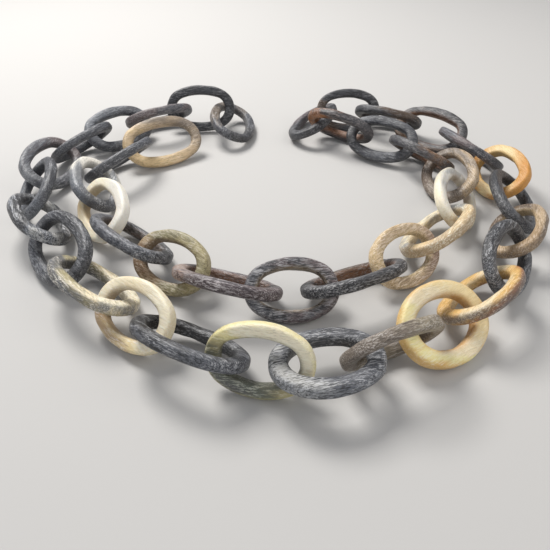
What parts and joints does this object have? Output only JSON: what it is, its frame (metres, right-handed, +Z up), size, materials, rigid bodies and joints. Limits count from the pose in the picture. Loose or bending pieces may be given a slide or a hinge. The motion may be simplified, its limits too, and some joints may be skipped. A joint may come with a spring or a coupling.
{
  "type": "chain necklace",
  "caption": "Long necklace of big separate open oval horn links, each hooked through the next, laid down doubled as an outer and an inner strand.",
  "frame": {"origin": "middle of the bounding box at the surface the necklace lies on", "axes": "+Z up; -Y is the front of the loop, nearest the viewer; +X is the viewer's right; the wearer's neck goes through along Z"},
  "size_m": [0.283, 0.263, 0.029],
  "materials": {
    "horn_blue_grey": "satin",
    "horn_charcoal": "satin",
    "horn_mottled_grey": "satin",
    "horn_mauve_grey": "satin",
    "horn_ivory": "satin",
    "horn_honey": "satin",
    "horn_tan": "satin",
    "horn_olive": "satin"
  },
  "bodies": {
    "left_turn_link": {"left_turn_link": "horn_mottled_grey"},
    "outer_link_01": {"outer_link_01": "horn_charcoal"},
    "outer_link_02": {"outer_link_02": "horn_mottled_grey"},
    "outer_link_03": {"outer_link_03": "horn_blue_grey"},
    "outer_link_04": {"outer_link_04": "horn_charcoal"},
    "outer_link_05": {"outer_link_05": "horn_mottled_grey"},
    "outer_link_06": {"outer_link_06": "horn_blue_grey"},
    "outer_link_07": {"outer_link_07": "horn_mottled_grey"},
    "outer_link_08": {"outer_link_08": "horn_charcoal"},
    "outer_link_09": {"outer_link_09": "horn_olive"},
    "outer_link_10": {"outer_link_10": "horn_ivory"},
    "outer_link_11": {"outer_link_11": "horn_charcoal"},
    "outer_link_12": {"outer_link_12": "horn_ivory"},
    "outer_link_13": {"outer_link_13": "horn_blue_grey"},
    "outer_link_14": {"outer_link_14": "horn_mauve_grey"},
    "outer_link_15": {"outer_link_15": "horn_honey"},
    "outer_link_16": {"outer_link_16": "horn_tan"},
    "outer_link_17": {"outer_link_17": "horn_blue_grey"},
    "outer_link_18": {"outer_link_18": "horn_tan"},
    "outer_link_19": {"outer_link_19": "horn_charcoal"},
    "outer_link_20": {"outer_link_20": "horn_honey"},
    "outer_link_21": {"outer_link_21": "horn_mottled_grey"},
    "outer_link_22": {"outer_link_22": "horn_charcoal"},
    "outer_link_23": {"outer_link_23": "horn_mauve_grey"},
    "outer_link_24": {"outer_link_24": "horn_charcoal"},
    "right_turn_link": {"right_turn_link": "horn_mauve_grey"},
    "inner_link_01": {"inner_link_01": "horn_mottled_grey"},
    "inner_link_02": {"inner_link_02": "horn_blue_grey"},
    "inner_link_03": {"inner_link_03": "horn_charcoal"},
    "inner_link_04": {"inner_link_04": "horn_mauve_grey"},
    "inner_link_05": {"inner_link_05": "horn_ivory"},
    "inner_link_06": {"inner_link_06": "horn_tan"},
    "inner_link_07": {"inner_link_07": "horn_tan"},
    "inner_link_08": {"inner_link_08": "horn_charcoal"},
    "inner_link_09": {"inner_link_09": "horn_mottled_grey"},
    "inner_link_10": {"inner_link_10": "horn_mauve_grey"},
    "inner_link_11": {"inner_link_11": "horn_olive"},
    "inner_link_12": {"inner_link_12": "horn_charcoal"},
    "inner_link_13": {"inner_link_13": "horn_ivory"},
    "inner_link_14": {"inner_link_14": "horn_mottled_grey"},
    "inner_link_15": {"inner_link_15": "horn_mottled_grey"},
    "inner_link_16": {"inner_link_16": "horn_ivory"}
  },
  "joints": [
    {"name": "swing_left_turn_link", "type": "hinge", "parent": "outer_link_01", "child": "left_turn_link", "pos_m": [-0.03451, 0.1148, 0.01164], "axis": [-0.0322, 0.9995, 0], "range_deg": [-16, 16]},
    {"name": "swing_outer_link_01", "type": "hinge", "parent": "outer_link_02", "child": "outer_link_01", "pos_m": [-0.0635, 0.11387, 0.01331], "axis": [0.2638, -0.9646, 0], "range_deg": [-16, 16]},
    {"name": "swing_outer_link_02", "type": "hinge", "parent": "outer_link_03", "child": "outer_link_02", "pos_m": [-0.08892, 0.09992, 0.01156], "axis": [-0.5862, 0.8102, 0], "range_deg": [-16, 16]},
    {"name": "swing_outer_link_03", "type": "hinge", "parent": "outer_link_04", "child": "outer_link_03", "pos_m": [-0.11012, 0.08014, 0.01141], "axis": [0.7825, -0.6227, 0], "range_deg": [-16, 16]},
    {"name": "swing_outer_link_04", "type": "hinge", "parent": "outer_link_05", "child": "outer_link_04", "pos_m": [-0.12464, 0.05503, 0.01167], "axis": [-0.9351, 0.3544, 0], "range_deg": [-16, 16]},
    {"name": "swing_outer_link_05", "type": "hinge", "parent": "outer_link_06", "child": "outer_link_05", "pos_m": [-0.13041, 0.02661, 0.01184], "axis": [0.9995, 0.0304, 0], "range_deg": [-16, 16]},
    {"name": "swing_outer_link_06", "type": "hinge", "parent": "outer_link_07", "child": "outer_link_06", "pos_m": [-0.12189, -0.00527, 0.01183], "axis": [-0.9251, -0.3797, 0], "range_deg": [-16, 16]},
    {"name": "swing_outer_link_07", "type": "hinge", "parent": "outer_link_08", "child": "outer_link_07", "pos_m": [-0.10754, -0.03047, 0.01166], "axis": [0.8328, 0.5536, 0], "range_deg": [-16, 16]},
    {"name": "swing_outer_link_08", "type": "hinge", "parent": "outer_link_09", "child": "outer_link_08", "pos_m": [-0.08742, -0.05663, 0.01141], "axis": [-0.7524, -0.6587, 0], "range_deg": [-16, 16]},
    {"name": "swing_outer_link_09", "type": "hinge", "parent": "outer_link_10", "child": "outer_link_09", "pos_m": [-0.06415, -0.08003, 0.01108], "axis": [0.6669, 0.7452, 0], "range_deg": [-16, 16]},
    {"name": "swing_outer_link_10", "type": "hinge", "parent": "outer_link_11", "child": "outer_link_10", "pos_m": [-0.04466, -0.09552, 0.01161], "axis": [-0.5625, -0.8268, 0], "range_deg": [-16, 16]},
    {"name": "swing_outer_link_11", "type": "hinge", "parent": "outer_link_12", "child": "outer_link_11", "pos_m": [-0.01607, -0.11201, 0.01298], "axis": [0.3519, 0.936, 0], "range_deg": [-16, 16]},
    {"name": "swing_outer_link_12", "type": "hinge", "parent": "outer_link_13", "child": "outer_link_12", "pos_m": [0.00835, -0.11686, 0.01367], "axis": [0.008, -1, 0], "range_deg": [-16, 16]},
    {"name": "swing_outer_link_14", "type": "hinge", "parent": "outer_link_13", "child": "outer_link_14", "pos_m": [0.0324, -0.11168, 0.01367], "axis": [-0.3169, 0.9484, 0], "range_deg": [-16, 16]},
    {"name": "swing_outer_link_15", "type": "hinge", "parent": "outer_link_14", "child": "outer_link_15", "pos_m": [0.05691, -0.10035, 0.01279], "axis": [0.5044, -0.8635, 0], "range_deg": [-16, 16]},
    {"name": "swing_outer_link_16", "type": "hinge", "parent": "outer_link_15", "child": "outer_link_16", "pos_m": [0.07686, -0.08597, 0.01169], "axis": [-0.6559, 0.7548, 0], "range_deg": [-16, 16]},
    {"name": "swing_outer_link_17", "type": "hinge", "parent": "outer_link_16", "child": "outer_link_17", "pos_m": [0.09694, -0.06504, 0.01239], "axis": [0.7833, -0.6217, 0], "range_deg": [-16, 16]},
    {"name": "swing_outer_link_18", "type": "hinge", "parent": "outer_link_17", "child": "outer_link_18", "pos_m": [0.11276, -0.04074, 0.01222], "axis": [-0.8839, 0.4677, 0], "range_deg": [-16, 16]},
    {"name": "swing_outer_link_19", "type": "hinge", "parent": "outer_link_18", "child": "outer_link_19", "pos_m": [0.12319, -0.01583, 0.01103], "axis": [0.9577, -0.2877, 0], "range_deg": [-16, 16]},
    {"name": "swing_outer_link_20", "type": "hinge", "parent": "outer_link_19", "child": "outer_link_20", "pos_m": [0.12933, 0.01659, 0.01091], "axis": [-0.9988, 0.0488, 0], "range_deg": [-16, 16]},
    {"name": "swing_outer_link_21", "type": "hinge", "parent": "outer_link_20", "child": "outer_link_21", "pos_m": [0.12673, 0.04547, 0.01111], "axis": [0.967, 0.2547, 0], "range_deg": [-16, 16]},
    {"name": "swing_outer_link_22", "type": "hinge", "parent": "outer_link_21", "child": "outer_link_22", "pos_m": [0.11311, 0.07553, 0.01107], "axis": [-0.8264, -0.5631, 0], "range_deg": [-16, 16]},
    {"name": "swing_outer_link_23", "type": "hinge", "parent": "outer_link_22", "child": "outer_link_23", "pos_m": [0.09012, 0.09921, 0.01145], "axis": [0.5964, 0.8027, 0], "range_deg": [-16, 16]},
    {"name": "swing_outer_link_24", "type": "hinge", "parent": "outer_link_23", "child": "outer_link_24", "pos_m": [0.06437, 0.11255, 0.01272], "axis": [-0.2457, -0.9694, 0], "range_deg": [-16, 16]},
    {"name": "swing_right_turn_link", "type": "hinge", "parent": "outer_link_24", "child": "right_turn_link", "pos_m": [0.03738, 0.11304, 0.0112], "axis": [0.0183, 0.9998, 0], "range_deg": [-16, 16]},
    {"name": "swing_inner_link_01", "type": "hinge", "parent": "right_turn_link", "child": "inner_link_01", "pos_m": [0.03122, 0.09613, 0.01113], "axis": [0.5448, 0.8386, 0], "range_deg": [-16, 16]},
    {"name": "swing_inner_link_02", "type": "hinge", "parent": "inner_link_01", "child": "inner_link_02", "pos_m": [0.05554, 0.08033, 0.01264], "axis": [-0.5391, -0.8422, 0], "range_deg": [-16, 16]},
    {"name": "swing_inner_link_03", "type": "hinge", "parent": "inner_link_02", "child": "inner_link_03", "pos_m": [0.08007, 0.06486, 0.01148], "axis": [0.6752, 0.7377, 0], "range_deg": [-16, 16]},
    {"name": "swing_inner_link_04", "type": "hinge", "parent": "inner_link_03", "child": "inner_link_04", "pos_m": [0.09764, 0.04179, 0.01123], "axis": [-0.9308, -0.3657, 0], "range_deg": [-16, 16]},
    {"name": "swing_inner_link_05", "type": "hinge", "parent": "inner_link_04", "child": "inner_link_05", "pos_m": [0.10047, 0.01293, 0.01174], "axis": [0.991, -0.134, 0], "range_deg": [-16, 16]},
    {"name": "swing_inner_link_06", "type": "hinge", "parent": "inner_link_05", "child": "inner_link_06", "pos_m": [0.09008, -0.01414, 0.01167], "axis": [-0.873, 0.4878, 0], "range_deg": [-16, 16]},
    {"name": "swing_inner_link_07", "type": "hinge", "parent": "inner_link_06", "child": "inner_link_07", "pos_m": [0.07004, -0.04036, 0.01117], "axis": [0.7199, -0.694, 0], "range_deg": [-16, 16]},
    {"name": "swing_inner_link_08", "type": "hinge", "parent": "inner_link_07", "child": "inner_link_08", "pos_m": [0.05082, -0.0562, 0.01073], "axis": [-0.5372, 0.8435, 0], "range_deg": [-16, 16]},
    {"name": "swing_inner_link_09", "type": "hinge", "parent": "inner_link_08", "child": "inner_link_09", "pos_m": [0.02104, -0.0704, 0.01024], "axis": [0.2546, -0.9671, 0], "range_deg": [-16, 16]},
    {"name": "swing_inner_link_10", "type": "hinge", "parent": "inner_link_09", "child": "inner_link_10", "pos_m": [-0.0038, -0.07214, 0.01024], "axis": [0.1515, 0.9885, 0], "range_deg": [-16, 16]},
    {"name": "swing_inner_link_11", "type": "hinge", "parent": "inner_link_10", "child": "inner_link_11", "pos_m": [-0.03452, -0.06008, 0.01057], "axis": [-0.4676, -0.884, 0], "range_deg": [-16, 16]},
    {"name": "swing_inner_link_12", "type": "hinge", "parent": "inner_link_11", "child": "inner_link_12", "pos_m": [-0.05508, -0.04604, 0.01085], "axis": [0.641, 0.7676, 0], "range_deg": [-16, 16]},
    {"name": "swing_inner_link_13", "type": "hinge", "parent": "inner_link_12", "child": "inner_link_13", "pos_m": [-0.07825, -0.02254, 0.01134], "axis": [-0.7888, -0.6146, 0], "range_deg": [-16, 16]},
    {"name": "swing_inner_link_14", "type": "hinge", "parent": "inner_link_13", "child": "inner_link_14", "pos_m": [-0.0933, 0.00225, 0.01175], "axis": [0.9395, 0.3425, 0], "range_deg": [-16, 16]},
    {"name": "swing_inner_link_15", "type": "hinge", "parent": "inner_link_14", "child": "inner_link_15", "pos_m": [-0.09774, 0.03091, 0.01156], "axis": [-0.9843, 0.1763, 0], "range_deg": [-16, 16]},
    {"name": "swing_inner_link_16", "type": "hinge", "parent": "inner_link_15", "child": "inner_link_16", "pos_m": [-0.08168, 0.05973, 0.01172], "axis": [0.7268, -0.6869, 0], "range_deg": [-16, 16]}
  ]
}
